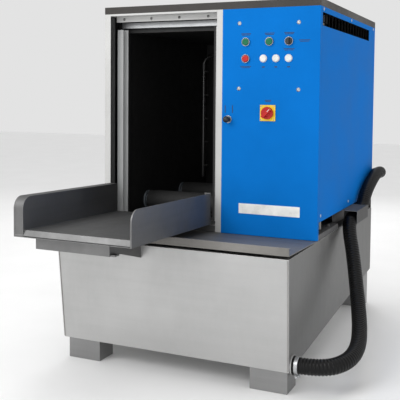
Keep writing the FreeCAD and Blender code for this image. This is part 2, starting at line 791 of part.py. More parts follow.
def make_pump():
    """The pump sucks from behind and its motor stands in front of it."""
    x, z = s.pump_side, s.pump_height
    radius, length = s.pump_radius, s.pump_length
    back = s.pump_back
    y = back - length
    case = turned("pump_case", [(0, 0), (radius, 0), (radius, length), (0, length)], (x, y, z))
    inlet = rod("pump_inlet", 24, 44, (x, back - 2, z), "y")
    outlet = rod("pump_outlet", 18, 42, (x, y + length / 2, z + radius - 10), "z")
    foot = slab("pump_foot", (x - 50, y + 10, s.tank_top + s.plate), (x + 50, y + 60, z - radius + 8))
    bores = [rod("pump_chamber", radius - 8, length - 16, (x, y + 8, z), "y"),
             rod("inlet_bore", 20, 54, (x, back - 10, z), "y"),
             rod("outlet_bore", 14, 52, (x, y + length / 2, z + radius - 20), "z"),
             rod("shaft_bore", 10 + CLEAR, 20, (x, y - 8, z), "y")]
    node("pump_housing", cut("pump_housing", fuse("pump_blank", [case, inlet, outlet, foot]), bores))
    shaft_end = back - 86
    hub = turned("impeller_hub", [(0, 0), (10, 0), (10, 36), (20, 36), (20, 74), (0, 74)],
                 (x, shaft_end, z))
    disc = turned("impeller_disc", [(18, 38), (70, 38), (70, 44), (18, 44)], (x, shaft_end, z))
    blades = [box(f"impeller_blade_{i}", (50, 5, 24), (0, 0, 0)) for i in range(5)]
    for i, blade in enumerate(blades):
        turn = 72 * i
        blade.Placement = Placement(Vector(), Rotation(Vector(0, 1, 0), turn) * TURN["y"])
        angle = math.radians(turn)
        place(blade, (x + 15 * math.cos(angle), back - 43, z - 15 * math.sin(angle)))
    node("pump_impeller", fuse("pump_impeller", [hub, disc] + blades))

    motor_back = y - 6
    can = rod("pump_motor_can", s.pump_motor, 160, (x, motor_back - 160, z), "y")
    cowl = rod("pump_motor_cowl", s.pump_motor + 3, 34, (x, motor_back - 166, z), "y")
    spacers = [rod(f"pump_spacer_{i}", 7, 7, (x + dx, y - 7, z + dz), "y")
               for i, (dx, dz) in enumerate(((-45, 0), (45, 0), (0, 45), (0, -45)))]
    feet = slab("pump_motor_feet", (x - 60, motor_back - 110, s.tank_top + s.plate),
                (x + 60, motor_back - 20, z - s.pump_motor + 12))
    socket = rod("pump_motor_socket", 10 + CLEAR, 26, (x, motor_back - 25, z), "y")
    motor = fuse("pump_motor_blank", [can, cowl, feet] + spacers)
    node("pump_motor", cut("pump_motor", motor, [socket]))


def make_pipes():
    route = [(780, 800, 712), (780, 800, 1240), (780, 900, 1240), (60, 900, 1240), (60, 900, 600)]
    pipe = tube("spray_tube", route, 11, bore=9, bend=45)
    nozzles = []
    for i in range(5):
        cone = doc.addObject("Part::Cone", f"nozzle_{i}")
        cone.Radius1 = 7
        cone.Radius2 = 4
        cone.Height = 20
        cone.Placement = Placement(Vector(), TURN["x"])
        place(cone, (66, 900, 660 + 125 * i))
        nozzles.append(cone)
    node("spray_pipe", fuse("spray_pipe", [pipe] + nozzles))


def make_hoses():
    """The suction hose, from the spigot low on the tank to the pump's inlet, and its fittings."""
    x, y, z = s.width, s.spigot_back, s.spigot_height
    hose = s.hose_radius
    flange = rod("spigot_flange", 36, 5, (x, y, z), "x")
    neck = rod("spigot_neck", s.spigot_radius, 40, (x, y, z), "x")
    bore = rod("spigot_bore", s.spigot_radius - 3, 60, (x - 5, y, z), "x")
    suction_spigot = cut("suction_spigot", fuse("spigot_blank", [flange, neck]), [bore])
    skin = tube("hose_body", SUCTION_ROUTE, hose.value)
    core = [rod("hose_start_bore", s.spigot_radius, 38, (x + 4, y, z), "x"),
            rod("hose_end_bore", 24, 60, (s.pump_side, s.pump_back - 18, s.pump_height), "y")]
    node("suction_hose", cut("suction_hose", skin, core))
    band = turned(
        "clamp_band", [(hose + 1.5, 0), (hose + 4, 0), (hose + 4, 14), (hose + 1.5, 14)],
        (x + 12, y, z), "x")
    lug = slab("clamp_lug", (x + 13, y - 10, z - hose - 14), (x + 25, y + 10, z - hose - 3))
    screw = rod("clamp_screw", 3.5, 30, (x + 19, y - 16, z - hose - 10), "y")
    node("hose_clamp", fuse("hose_clamp", [band, lug, screw]))

    ring = turned(
        "wall_ring", [(hose + 0.4, 0), (hose + 12, 0), (hose + 12, 4), (hose + 0.4, 4)],
        (s.pump_side, s.depth, s.pump_height))
    node("hose_spigots", group("hose_spigots", [suction_spigot, ring]))


def make_electrics():
    outer = slab("electrics_outer", (690, 135, 1000), (925, 265, 1290))
    inner = slab("electrics_inner", (692, 137, 1002), (923, 263, 1288))
    node("electrical_box", cut("electrical_box", outer, [inner]))


# ---------------------------------------------------------------- controls

BUTTONS = [(642, s.button_row), (739, s.button_row), (642, s.lamp_row)]
SELECTORS = [(818, s.button_row)]
LAMPS = [(715, s.lamp_row), (766, s.lamp_row), (817, s.lamp_row)]
BUTTON_NAMES = ["green_button_left", "green_button_right", "red_button"]


def make_controls():
    stem = size(8)
    hole = s.button_hole - 0.05
    bezels = []
    for i, (x, z) in enumerate(BUTTONS + SELECTORS):
        inner = stem + 0.08
        bezels.append(turned(
            f"bezel_{i}",
            [(inner, -1), (14, -1), (14, -7), (16.5, -7), (16.5, 0), (hole, 0), (hole, 38),
             (inner, 38)], (x, 0, z)))
    node("button_bezels", group("button_bezels", bezels))

    for name, (x, z) in zip(BUTTON_NAMES, BUTTONS):
        cap = turned(name, [(0, -11), (13.5, -11), (13.5, -1.5 - s.button_travel),
                            (stem, -1.5 - s.button_travel), (stem, 32), (0, 32)], (x, 0, z))
        round_edges(cap, 4, lambda edge: abs(edge.CenterOfMass.y + 11) < 0.1 and len(edge.Vertexes) == 1)
        node(name, cap)

    x, z = SELECTORS[0]
    knob = turned("selector_turned", [(0, -12), (13, -12), (13, -2), (stem, -2), (stem, 32), (0, 32)],
                  (x, 0, z))
    bar = slab("selector_bar", (x - 4, -20, z - 12), (x + 4, -11, z + 12))
    node("mode_selector", fuse("mode_selector", [knob, bar]))

    lamps = []
    for i, (x, z) in enumerate(LAMPS):
        lamp = turned(f"lamp_{i}", [(0, -8), (13.5, -8), (13.5, -3), (15, -3), (15, 0), (hole, 0),
                                    (hole, 30), (0, 30)], (x, 0, z))
        round_edges(lamp, 4,
                    lambda edge: abs(edge.CenterOfMass.y + 8) < 0.1 and len(edge.Vertexes) == 1)
        lamps.append(lamp)
    node("indicator_lamps", group("indicator_lamps", lamps))

    x, z, half = s.switch_side, s.switch_height, s.switch_plate / 2
    plate = slab("switch_plate", (x - half, -4, z - half), (x + half, 0, z + half))
    neck = rod("switch_neck", 19.9, 8, (x, -2, z), "y")
    block = slab("switch_block", (x - 25, 4, z - 25), (x + 25, 48, z + 25))
    bore = rod("switch_bore", 6 + CLEAR, 60, (x, -6, z), "y")
    node("main_switch_base", cut("main_switch_base", fuse("switch_blank", [plate, neck, block]), [bore]))
    dial = turned("switch_dial", [(0, -14), (24, -14), (24, -4.5), (6, -4.5), (6, 40), (0, 40)],
                  (x, 0, z))
    grip = box("switch_grip", (12, 16, 46), (x, -28, z))
    grip.Placement = Placement(Vector(), Rotation(Vector(0, 1, 0), 45))
    reach = (23 + 6) / math.sqrt(2)
    offset = (23 - 6) / math.sqrt(2)
    place(grip, (x - reach, -28, z - offset))
    node("main_switch_knob", fuse("main_switch_knob", [dial, grip]))

    x, z = s.lever_side, s.lever_height
    pivot = 27
    collar = turned("valve_collar", [(9.5, -6), (15, -6), (15, 0), (10.95, 0), (10.95, 6), (9.5, 6)],
                    (x, 0, z))
    block = slab("valve_block", (x - 20, 6, z - 30), (x + 20, 48, z + 30))
    slot = slab("valve_slot", (x - 5, 5, z - 14), (x + 5, 41, z + 14))
    bore = rod("valve_bore", 4 + CLEAR, 32, (x - 16, pivot, z), "x")
    node("lever_valve", fuse("lever_valve", [collar, cut("valve_body", block, [slot, bore])]))
    stick = rod("lever_stick", 4, 45, (x, -18, z), "y")
    hub = rod("lever_hub", 9, 9, (x - 4.5, pivot, z), "x")
    pin = rod("lever_pin", 4, 31, (x - 15.5, pivot, z), "x")
    ball = doc.addObject("Part::Sphere", "lever_ball")
    ball.Radius = 13
    place(ball, (x, -24, z))
    node("valve_lever", fuse("valve_lever", [stick, hub, pin, ball]))


# ---------------------------------------------------------------- build, check and write

make_tank()
make_feet()
make_drip_ledge()
make_sieve()
make_cabinet()
make_guard()
make_panels()
make_chamber()
make_door()
make_door_track()
make_tray()
make_wheel_drive()
make_pump()
make_pipes()
make_hoses()
make_electrics()
make_controls()
doc.recompute()

faults = [obj.Name for obj in doc.Objects if {"Invalid", "Error"} & set(obj.State)]
faults += [name for name, obj in NODES.items() if obj.Shape.isNull() or not obj.Shape.isValid()]
if faults:
    raise SystemExit(f"these objects are not sound: {faults}")
if len(NODES) > 60:
    raise SystemExit(f"{len(NODES)} nodes are more than the library takes")

os.makedirs("parts", exist_ok=True)
for name, obj in NODES.items():
    obj.Shape.exportStep(os.path.join("parts", f"{name}.step"))
print(len(NODES), "nodes written")
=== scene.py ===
"""Looks of the automatic wheel washing machine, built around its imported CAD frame."""

import json
import math

import bmesh
import bpy
from mathutils import Matrix, Vector


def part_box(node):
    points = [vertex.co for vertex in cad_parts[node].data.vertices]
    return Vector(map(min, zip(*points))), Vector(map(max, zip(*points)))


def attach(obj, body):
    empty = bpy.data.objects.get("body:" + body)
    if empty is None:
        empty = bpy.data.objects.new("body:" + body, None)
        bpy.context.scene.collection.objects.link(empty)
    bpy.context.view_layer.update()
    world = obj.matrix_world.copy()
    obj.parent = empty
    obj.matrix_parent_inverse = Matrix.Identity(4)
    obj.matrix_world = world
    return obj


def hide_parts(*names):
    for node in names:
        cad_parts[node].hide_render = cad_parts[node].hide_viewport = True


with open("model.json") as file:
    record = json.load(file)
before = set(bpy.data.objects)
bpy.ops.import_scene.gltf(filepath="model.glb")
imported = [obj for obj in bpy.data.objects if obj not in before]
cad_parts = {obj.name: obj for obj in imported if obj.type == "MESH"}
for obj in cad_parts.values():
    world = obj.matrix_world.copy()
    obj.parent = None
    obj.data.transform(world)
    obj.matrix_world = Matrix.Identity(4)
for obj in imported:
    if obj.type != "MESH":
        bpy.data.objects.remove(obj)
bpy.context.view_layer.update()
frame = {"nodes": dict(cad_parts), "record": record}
nodes = frame["nodes"]

MM = 0.001

# The middle of the machine in the cabinet's own coordinates, where the frame has its zero.
MIDDLE_X = 470
MIDDLE_Y = 177


def machine(x, y, z):
    """A point given in the cabinet's own coordinates, in millimetres, as a point of the frame."""
    return Vector(((x - MIDDLE_X) * MM, (y - MIDDLE_Y) * MM, z * MM))


# ---------------------------------------------------------------- camera and light

def look_from(place, azimuth, pitch, roll, lens, shift_y):
    """A camera turned by its heading, its downward pitch and its roll, in degrees."""
    data = bpy.data.cameras.new("camera")
    data.sensor_width = 36
    data.lens = lens
    data.shift_y = shift_y
    data.clip_end = 100
    camera = bpy.data.objects.new("camera", data)
    bpy.context.scene.collection.objects.link(camera)
    heading = Matrix.Rotation(math.radians(azimuth), 4, "Z")
    tilt = Matrix.Rotation(math.radians(90 - pitch), 4, "X")
    lean = Matrix.Rotation(math.radians(roll), 4, "Z")
    camera.matrix_world = Matrix.Translation(place) @ heading @ tilt @ lean
    bpy.context.scene.camera = camera


def soft_box(name, place, target, size, power):
    """A rectangular lamp of the given size in metres and power in watts, turned to its target."""
    data = bpy.data.lights.new(name, "AREA")
    data.shape = "RECTANGLE"
    data.size, data.size_y = size
    data.energy = power
    lamp = bpy.data.objects.new(name, data)
    bpy.context.scene.collection.objects.link(lamp)
    lamp.location = place
    lamp.rotation_euler = (Vector(target) - Vector(place)).to_track_quat("-Z", "Y").to_euler()


def pale_surroundings(grey, strength):
    """Even light from all around."""
    world = bpy.data.worlds.new("studio")
    world.use_nodes = True
    background = world.node_tree.nodes["Background"]
    background.inputs["Color"].default_value = (grey, grey, grey, 1)
    background.inputs["Strength"].default_value = strength
    bpy.context.scene.world = world


look_from(Vector((1.226, -2.928, 1.026)), azimuth=24.40, pitch=3.31, roll=0.48, lens=67.32,
          shift_y=-0.15)
soft_box("key_light", (-1.6, -3.4, 3.0), target=(0, 0, 0.6), size=(2.4, 2.0), power=66)
soft_box("side_light", (3.8, 0.6, 2.2), target=(0.3, 0, 0.7), size=(2.2, 2.2), power=5)
soft_box("front_fill", (1.1, -4.4, 1.0), target=(0.1, 0, 0.6), size=(2.8, 1.6), power=22)
soft_box("top_light", (0.0, 0.2, 4.2), target=(0, 0, 0.5), size=(3.0, 3.0), power=26)
soft_box("rear_light", (-1.2, 3.8, 2.4), target=(0, 0, 0.8), size=(2.0, 2.0), power=34)
pale_surroundings(grey=0.96, strength=0.80)
bpy.context.scene.view_settings.view_transform = "Standard"


# ---------------------------------------------------------------- shader nodes

# The Mix node's colour sockets share their names with its other sockets, so they go by number.
MIX_COLOR_A = 6
MIX_COLOR_B = 7
MIX_COLOR_RESULT = 2


def scaled(color, factor, lift=0.0):
    """A colour made brighter or darker by a factor, and raised by a constant."""
    return tuple(min(1, c * factor + lift) for c in color)


class Shader:
    """A material's node tree, with short calls for the nodes that the materials share."""

    def __init__(self, name):
        self.material = bpy.data.materials.new(name)
        self.material.use_nodes = True
        self.tree = self.material.node_tree
        self.surface = self.tree.nodes["Principled BSDF"]
        self.coordinates = self.tree.nodes.new("ShaderNodeTexCoord").outputs["Object"]

    def put(self, socket, value):
        """Sets an input to a value, or links it to another node's output."""
        if isinstance(value, bpy.types.NodeSocket):
            self.tree.links.new(value, socket)
        else:
            socket.default_value = value

    def set(self, **values):
        """Sets or links the surface's inputs, named in small letters with underscores."""
        for name, value in values.items():
            title = name.replace("_", " ").title().replace("Ior", "IOR")
            self.put(self.surface.inputs[title], value)

    def noise(self, scale, detail=4, stretch=(1, 1, 1), rough=0.55):
        """Noise over the object's coordinates, which are first scaled along each axis."""
        mapping = self.tree.nodes.new("ShaderNodeMapping")
        mapping.inputs["Scale"].default_value = stretch
        self.put(mapping.inputs["Vector"], self.coordinates)
        node = self.tree.nodes.new("ShaderNodeTexNoise")
        node.inputs["Scale"].default_value = scale
        node.inputs["Detail"].default_value = detail
        node.inputs["Roughness"].default_value = rough
        self.put(node.inputs["Vector"], mapping.outputs["Vector"])
        return node.outputs["Fac"]

    def ramp(self, fac, low=0, high=1, start=0.3, end=0.7):
        """A value that goes from low to high while fac goes from start to end."""
        node = self.tree.nodes.new("ShaderNodeMapRange")
        node.inputs["From Min"].default_value = start
        node.inputs["From Max"].default_value = end
        node.inputs["To Min"].default_value = low
        node.inputs["To Max"].default_value = high
        self.put(node.inputs["Value"], fac)
        return node.outputs["Result"]

    def combine(self, kind, operation, a, b):
        """The value that a math node of the given kind makes of a and b."""
        node = self.tree.nodes.new(kind)
        node.operation = operation
        for socket, value in zip(node.inputs, (a, b)):
            self.put(socket, value)
        return node.outputs["Value"]

    def add(self, a, b):
        return self.combine("ShaderNodeMath", "ADD", a, b)

    def times(self, a, b):
        return self.combine("ShaderNodeMath", "MULTIPLY", a, b)

    def dot(self, a, b):
        return self.combine("ShaderNodeVectorMath", "DOT_PRODUCT", a, b)

    def mix(self, fac, a, b):
        """A colour that goes from a to b with fac; a and b are colours or sockets."""
        node = self.tree.nodes.new("ShaderNodeMix")
        node.data_type = "RGBA"
        self.put(node.inputs[0], fac)
        for number, value in ((MIX_COLOR_A, a), (MIX_COLOR_B, b)):
            self.put(node.inputs[number], (*value, 1) if isinstance(value, tuple) else value)
        return node.outputs[MIX_COLOR_RESULT]

    def edges(self, radius):
        """1 along sharp edges and 0 on flat faces, and the rounded normal that shows it."""
        bevel = self.tree.nodes.new("ShaderNodeBevel")
        bevel.samples = 4
        bevel.inputs["Radius"].default_value = radius
        rounded = bevel.outputs["Normal"]
        flat = self.tree.nodes.new("ShaderNodeNewGeometry").outputs["Normal"]
        return self.ramp(self.dot(rounded, flat), 1, 0, start=0.8, end=0.985), rounded

    def facing(self, direction):
        """1 on faces that look along a direction, and 0 on all others."""
        flat = self.tree.nodes.new("ShaderNodeNewGeometry").outputs["True Normal"]
        return self.ramp(self.dot(flat, direction), start=0.85, end=0.95)

    def bump(self, height, strength, distance, normal):
        """A relief on top of another normal."""
        node = self.tree.nodes.new("ShaderNodeBump")
        node.inputs["Strength"].default_value = strength
        node.inputs["Distance"].default_value = distance
        self.put(node.inputs["Height"], height)
        self.put(node.inputs["Normal"], normal)
        self.set(normal=node.outputs["Normal"])


# ---------------------------------------------------------------- kinds of finish

RIGHT = (1, 0, 0)
FRONT = (0, -1, 0)


def brushed(name, color, grain=(1, 1, 1), roughness=0.34, dirt=0.25, streak=0.14, right_side_painted_shade=None,
            edge_tint=1.0):
    """Bare metal: lines drawn out by the grain, cloudy roughness, handling marks, bright edges that
    are partly wear and partly painted highlight.

    Faces that look to the right can take the colour times a given factor: painted shade on that
    side.
    """
    m = Shader(name)
    lines = m.noise(scale=22, detail=5, stretch=grain, rough=0.65)
    clouds = m.noise(scale=3.2, detail=5)
    marks = m.noise(scale=38, detail=6, stretch=(1, 1, 0.35), rough=0.7)
    base = m.mix(m.ramp(lines), scaled(color, 1 - streak), color)
    # Faces that look to the right are darkened here: painted shade.
    if right_side_painted_shade:
        base = m.mix(m.facing(RIGHT), base, scaled(color, right_side_painted_shade))
    dull = m.mix(m.ramp(clouds, high=dirt), base, scaled(color, 0.55))
    edge_mask, rounded = m.edges(radius=0.0016)
    # Edges are lightened here: partly wear, partly painted highlight.
    m.set(base_color=m.mix(m.times(edge_mask, 0.9), dull, scaled(color, 1.35)),
          roughness=m.add(m.ramp(clouds, roughness - 0.07, roughness + 0.1),
                          m.ramp(marks, -0.03, 0.06)),
          metallic=1.0, specular_tint=(edge_tint, edge_tint, edge_tint, 1))
    m.bump(lines, strength=0.12, distance=0.0004, normal=rounded)
    return m.material


def painted(name, color, roughness=0.42, coat=0.2, shine=0.35, painted_shade_direction=None,
            painted_shade_color=(0.012, 0.012, 0.012)):
    """Sprayed paint: orange peel, slight clouding and small bare chips on the edges.

    Faces that look along a given direction can turn near black: painted shade, as inside a closed
    housing.
    """
    m = Shader(name)
    peel = m.noise(scale=420, detail=2)
    clouds = m.noise(scale=4.5)
    grain = m.noise(scale=90, detail=5, rough=0.7)
    base = m.mix(m.ramp(clouds), scaled(color, 0.94), scaled(color, 1.06))
    edge_mask, rounded = m.edges(radius=0.0014)
    bare_steel = (0.55, 0.56, 0.58)
    shown = m.mix(m.times(edge_mask, m.ramp(grain, start=0.62, end=0.72)), base, bare_steel)
    # Faces that look along the given direction turn dark here: painted shade.
    if painted_shade_direction:
        shown = m.mix(m.facing(painted_shade_direction), shown, painted_shade_color)
    m.set(base_color=shown, roughness=m.ramp(clouds, roughness - 0.05, roughness + 0.08),
          coat_weight=coat, coat_roughness=0.25, specular_ior_level=shine)
    m.bump(peel, strength=0.10, distance=0.0003, normal=rounded)
    return m.material


def powder(name, color, grain, strength, roughness=0.62):
    """Textured powder coat: gritty relief and tone, with slightly lighter edges that are partly
    rubbed wear and partly painted highlight.
    """
    m = Shader(name)
    grit = m.noise(scale=grain, detail=3, rough=0.6)
    clouds = m.noise(scale=6)
    base = m.mix(m.ramp(grit, start=0.35), scaled(color, 0.7), scaled(color, 1.5))
    edge_mask, rounded = m.edges(radius=0.0014)
    # Edges are lightened here: partly rubbed wear, partly painted highlight.
    m.set(base_color=m.mix(m.times(edge_mask, 0.35), base, scaled(color, 3, lift=0.05)),
          roughness=m.ramp(clouds, roughness - 0.08, roughness + 0.08))
    m.bump(grit, strength, distance=0.0006, normal=rounded)
    return m.material


def moulded(name, color, roughness=0.38, grain=350, strength=0.12, coat=0.0, shine=0.5):
    """Plastic or rubber: fine moulded grain, cloudy gloss and slightly lighter edges that are
    partly rubbed wear and partly painted highlight.
    """
    m = Shader(name)
    fine = m.noise(scale=grain, detail=3)
    clouds = m.noise(scale=26)
    edge_mask, rounded = m.edges(radius=0.0009)
    base = m.mix(m.ramp(clouds), scaled(color, 0.88), scaled(color, 1.08))
    # Edges are lightened here: partly rubbed wear, partly painted highlight.
    m.set(base_color=m.mix(m.times(edge_mask, 0.3), base, scaled(color, 1.6, lift=0.02)),
          roughness=m.ramp(clouds, roughness - 0.06, roughness + 0.08),
          coat_weight=coat, coat_roughness=0.12, specular_ior_level=shine)
    m.bump(fine, strength, distance=0.0004, normal=rounded)
    return m.material


# ---------------------------------------------------------------- materials

# A small factor draws the brushed lines out along that axis.
LEVEL_GRAIN = (0.05, 0.05, 1)
GRAIN_ALONG_X = (0.05, 1, 1)
GRAIN_ALONG_Y = (1, 0.05, 1)

SHEET_WHITE = (0.56, 0.56, 0.55)
WALL_WHITE = (0.66, 0.66, 0.64)

# The tank's steel is darker on faces that look to the right: painted shade.
STAINLESS = brushed("tank_stainless", (0.53, 0.53, 0.525), LEVEL_GRAIN, roughness=0.42, dirt=0.15,
                    streak=0.07, right_side_painted_shade=0.62, edge_tint=0.45)
FOOT_STEEL = brushed("foot_stainless", (0.33, 0.33, 0.33), LEVEL_GRAIN, roughness=0.42)
# The tray's steel is kept far darker than the tank's: painted shade.
TRAY_STEEL = brushed("tray_stainless", (0.25, 0.25, 0.25), GRAIN_ALONG_Y, roughness=0.50,
                     dirt=0.4, edge_tint=0.35)
LEDGE = brushed("ledge_steel", (0.30, 0.29, 0.275), GRAIN_ALONG_X, roughness=0.60, dirt=0.4)
ZINC = brushed("zinc_plate", (0.58, 0.59, 0.60), dirt=0.35)
ALUMINIUM = brushed("anodised_aluminium", (0.66, 0.67, 0.68), GRAIN_ALONG_X, roughness=0.3,
                    dirt=0.1)
CHROME = brushed("polished_bezel", (0.42, 0.43, 0.45), roughness=0.22, dirt=0.1)
WELD = brushed("weld_metal", (0.46, 0.45, 0.44), roughness=0.36, dirt=0.5)
DARK_SCREW = brushed("dark_screw", (0.22, 0.22, 0.22), roughness=0.4)

WHITE = painted("cabinet_white_paint", SHEET_WHITE)
# The left post, the left wall and the rear wall turn near black on faces that look into the
# machine: painted shade on white paint.
LEFT_POST = painted("left_post_paint", SHEET_WHITE, painted_shade_direction=RIGHT, painted_shade_color=(0.03, 0.03, 0.03))
LEFT_WALL = painted("left_wall_paint", WALL_WHITE, painted_shade_direction=RIGHT)
REAR_WALL = painted("rear_wall_paint", WALL_WHITE, painted_shade_direction=FRONT)
GREY = painted("cabinet_grey_paint", (0.50, 0.51, 0.51))
BLUE = painted("blue_paint", (0.004, 0.162, 0.56), roughness=0.48, coat=0.0, shine=0.01)
MOTOR = painted("motor_paint", (0.10, 0.12, 0.14), roughness=0.45)
BASE = painted("base_paint", (0.09, 0.09, 0.092), roughness=0.5, shine=0.2)
COVER = powder("textured_cover_paint", (0.022, 0.018, 0.015), grain=420, strength=1.0,
               roughness=0.50)
CAST = powder("cast_pump_paint", (0.14, 0.16, 0.18), grain=320, strength=0.7)

RUBBER = moulded("seal_rubber", (0.018, 0.018, 0.018), roughness=0.62)
ROLLER = moulded("roller_rubber", (0.03, 0.03, 0.03), roughness=0.7, grain=180, strength=0.4)
BLACK = moulded("black_plastic", (0.02, 0.02, 0.021), roughness=0.42)
GREEN = moulded("green_button_plastic", (0.0, 0.15, 0.065), roughness=0.25, coat=0.3, shine=0.3)
RED = moulded("red_button_plastic", (0.50, 0.012, 0.010), roughness=0.28, coat=0.3, shine=0.3)
LENS = moulded("lamp_plastic", (0.72, 0.72, 0.70), roughness=0.22, coat=0.5)
YELLOW = moulded("yellow_plate_plastic", (0.86, 0.58, 0.02), roughness=0.4)
LABEL = moulded("label_film", (0.86, 0.86, 0.84), roughness=0.3, coat=0.3)
# The chamber's walls, roof and frame are near black: painted shade inside the chamber.
CHAMBER_SHADE = moulded("chamber_painted_shade", (0.010, 0.010, 0.010), roughness=0.55, grain=60, strength=0.25)
HOSE = moulded("hose_plastic", (0.0035, 0.0035, 0.0038), roughness=0.36, grain=260, shine=0.22)
WET_PIPE = moulded("spray_pipe_coating", (0.02, 0.02, 0.02), roughness=0.3, grain=90, coat=0.3)
SCREEN = moulded("screen_coating", (0.003, 0.003, 0.0035), roughness=0.8, grain=200, shine=0.02)
INK = moulded("printed_ink", (0.012, 0.02, 0.05), roughness=0.5, strength=0.02)

# The look of each of the record's material slots, and of single nodes that differ from theirs.
SLOT_LOOKS = {
    "stainless": STAINLESS, "stainless_dark": TRAY_STEEL, "ledge_steel": LEDGE,
    "cabinet_white": WHITE, "cabinet_grey": GREY, "blue_paint": BLUE, "cover_paint": COVER,
    "zinc": ZINC, "aluminium": ALUMINIUM, "chrome": CHROME, "rubber": RUBBER,
    "black_plastic": BLACK, "green_plastic": GREEN, "red_plastic": RED, "white_plastic": LENS,
    "yellow_plastic": YELLOW, "label": LABEL, "motor_paint": MOTOR, "cast_pump": CAST,
    "hose_black": HOSE, "roller_cover": ROLLER,
}
NODE_LOOKS = {
    "chamber_walls": CHAMBER_SHADE, "chamber_roof": CHAMBER_SHADE, "chamber_frame": CHAMBER_SHADE,
    "front_feet": FOOT_STEEL, "rear_feet": FOOT_STEEL, "spray_pipe": WET_PIPE,
    "vent_screen": SCREEN, "machine_base": BASE, "front_left_post": LEFT_POST,
    "left_wall": LEFT_WALL, "rear_wall": REAR_WALL,
}
for part in frame["record"]["subparts"]:
    mesh = nodes[part["node"]].data
    mesh.materials.clear()
    mesh.materials.append(NODE_LOOKS.get(part["node"], SLOT_LOOKS[part["material_slot"]]))


# ---------------------------------------------------------------- mesh makers

# The radius of a turned form where it closes on its axis.
ON_AXIS = 0.0001


def piece_from(name, bm, material, body, smooth=True):
    """A built mesh as a named piece that rides on a body."""
    mesh = bpy.data.meshes.new(name)
    bmesh.ops.recalc_face_normals(bm, faces=bm.faces)
    bm.to_mesh(mesh)
    bm.free()
    if smooth:
        mesh.shade_smooth()
    mesh.materials.append(material)
    piece = bpy.data.objects.new(name, mesh)
    bpy.context.scene.collection.objects.link(piece)
    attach(piece, body)
    return piece


def cross_directions(axis):
    """Two directions square to an axis and to each other."""
    side = axis.orthogonal().normalized()
    return side, axis.cross(side)


def turns(steps):
    """The cosine and sine of each step around a full turn."""
    return [(math.cos(2 * math.pi * k / steps), math.sin(2 * math.pi * k / steps))
            for k in range(steps)]


def bridge(bm, ring, other):
    """Faces between two rings that have the same number of points."""
    count = len(ring)
    for k in range(count):
        following = (k + 1) % count
        bm.faces.new((ring[k], ring[following], other[following], other[k]))


def turned_form(bm, profile, centre, axis, steps=32):
    """Adds a turned form: (radius, distance along the axis) corners, turned about the axis."""
    axis = Vector(axis).normalized()
    side, up = cross_directions(axis)
    rings = []
    for radius, along in profile:
        rings.append([bm.verts.new(centre + axis * along + (side * c + up * s) * radius)
                      for c, s in turns(steps)])
    for ring, other in zip(rings, rings[1:]):
        bridge(bm, ring, other)
    return rings


def sized_cube(bm, size):
    """Adds a block about the origin and returns its corners."""
    corners = bmesh.ops.create_cube(bm, size=1)["verts"]
    for corner in corners:
        corner.co = Vector([c * s for c, s in zip(corner.co, size)])
    return corners


def rounded_block(bm, centre, size, edge):
    """Adds a block with bevelled edges."""
    corners = sized_cube(bm, size)
    for corner in corners:
        corner.co = Vector(centre) + corner.co
    edges = list({e for corner in corners for e in corner.link_edges})
    bmesh.ops.bevel(bm, geom=edges, offset=edge, segments=2, affect="EDGES", profile=0.6)


# ---------------------------------------------------------------- suction hose

# The hose's sizes in metres, and how finely its mesh follows them.
HOSE_RADIUS = 0.029
HOSE_PITCH = 0.0115
GROOVE_DEPTH = 0.0026
GROOVE_SHARPNESS = 1.6
STEPS_ROUND_HOSE = 36
STEPS_PER_PITCH = 8

# The route of the CAD's suction hose, point for point, in the cabinet's own coordinates.
SUCTION_ROUTE = [
    (946, -290, 98), (1048, -290, 98), (1114, -208, 106), (1126, -96, 124), (1104, 28, 158),
    (1070, 148, 216), (1038, 236, 300), (1008, 306, 392), (976, 366, 478), (973, 420, 514),
    (973, 622, 514), (973, 702, 590), (973, 868, 644), (973, 961, 659), (973, 1100, 652),
    (780, 1100, 590), (780, 871, 590),
]


def smooth_line(points):
    """Points along the NURBS spline that has the route's points as its control points."""
    data = bpy.data.curves.new("route", "CURVE")
    data.dimensions = "3D"
    data.resolution_u = 40
    spline = data.splines.new("NURBS")
    spline.points.add(len(points) - 1)
    for point, place in zip(spline.points, points):
        point.co = (*place, 1)
    spline.order_u = 3
    spline.use_endpoint_u = True
    curve = bpy.data.objects.new("route", data)
    bpy.context.scene.collection.objects.link(curve)
    bpy.context.view_layer.update()
    line = [v.co.copy() for v in bpy.data.meshes.new_from_object(curve).vertices]
    bpy.data.objects.remove(curve)
    return line


def evenly(line, step):
    """The same line with points an even step apart, and its length."""
    reached = [0.0]
    for a, b in zip(line, line[1:]):
        reached.append(reached[-1] + (b - a).length)
    total = reached[-1]
    count = round(total / step)
    places = []
    leg = 0
    for i in range(count + 1):
        wanted = total * i / count
        while leg < len(reached) - 2 and reached[leg + 1] < wanted:
            leg += 1
        share = (wanted - reached[leg]) / (reached[leg + 1] - reached[leg])
        places.append(line[leg].lerp(line[leg + 1], share))
    return places, total


def frames_along(places):
    """A steady pair of cross directions at each point, carried along without twist."""
    last = len(places) - 1
    tangents = [(places[min(last, i + 1)] - places[max(0, i - 1)]).normalized()
                for i in range(len(places))]
    side = tangents[0].orthogonal().normalized()
    pairs = []
    for tangent in tangents:
        side = (side - tangent * side.dot(tangent)).normalized()
        pairs.append((side, tangent.cross(side)))
    return pairs


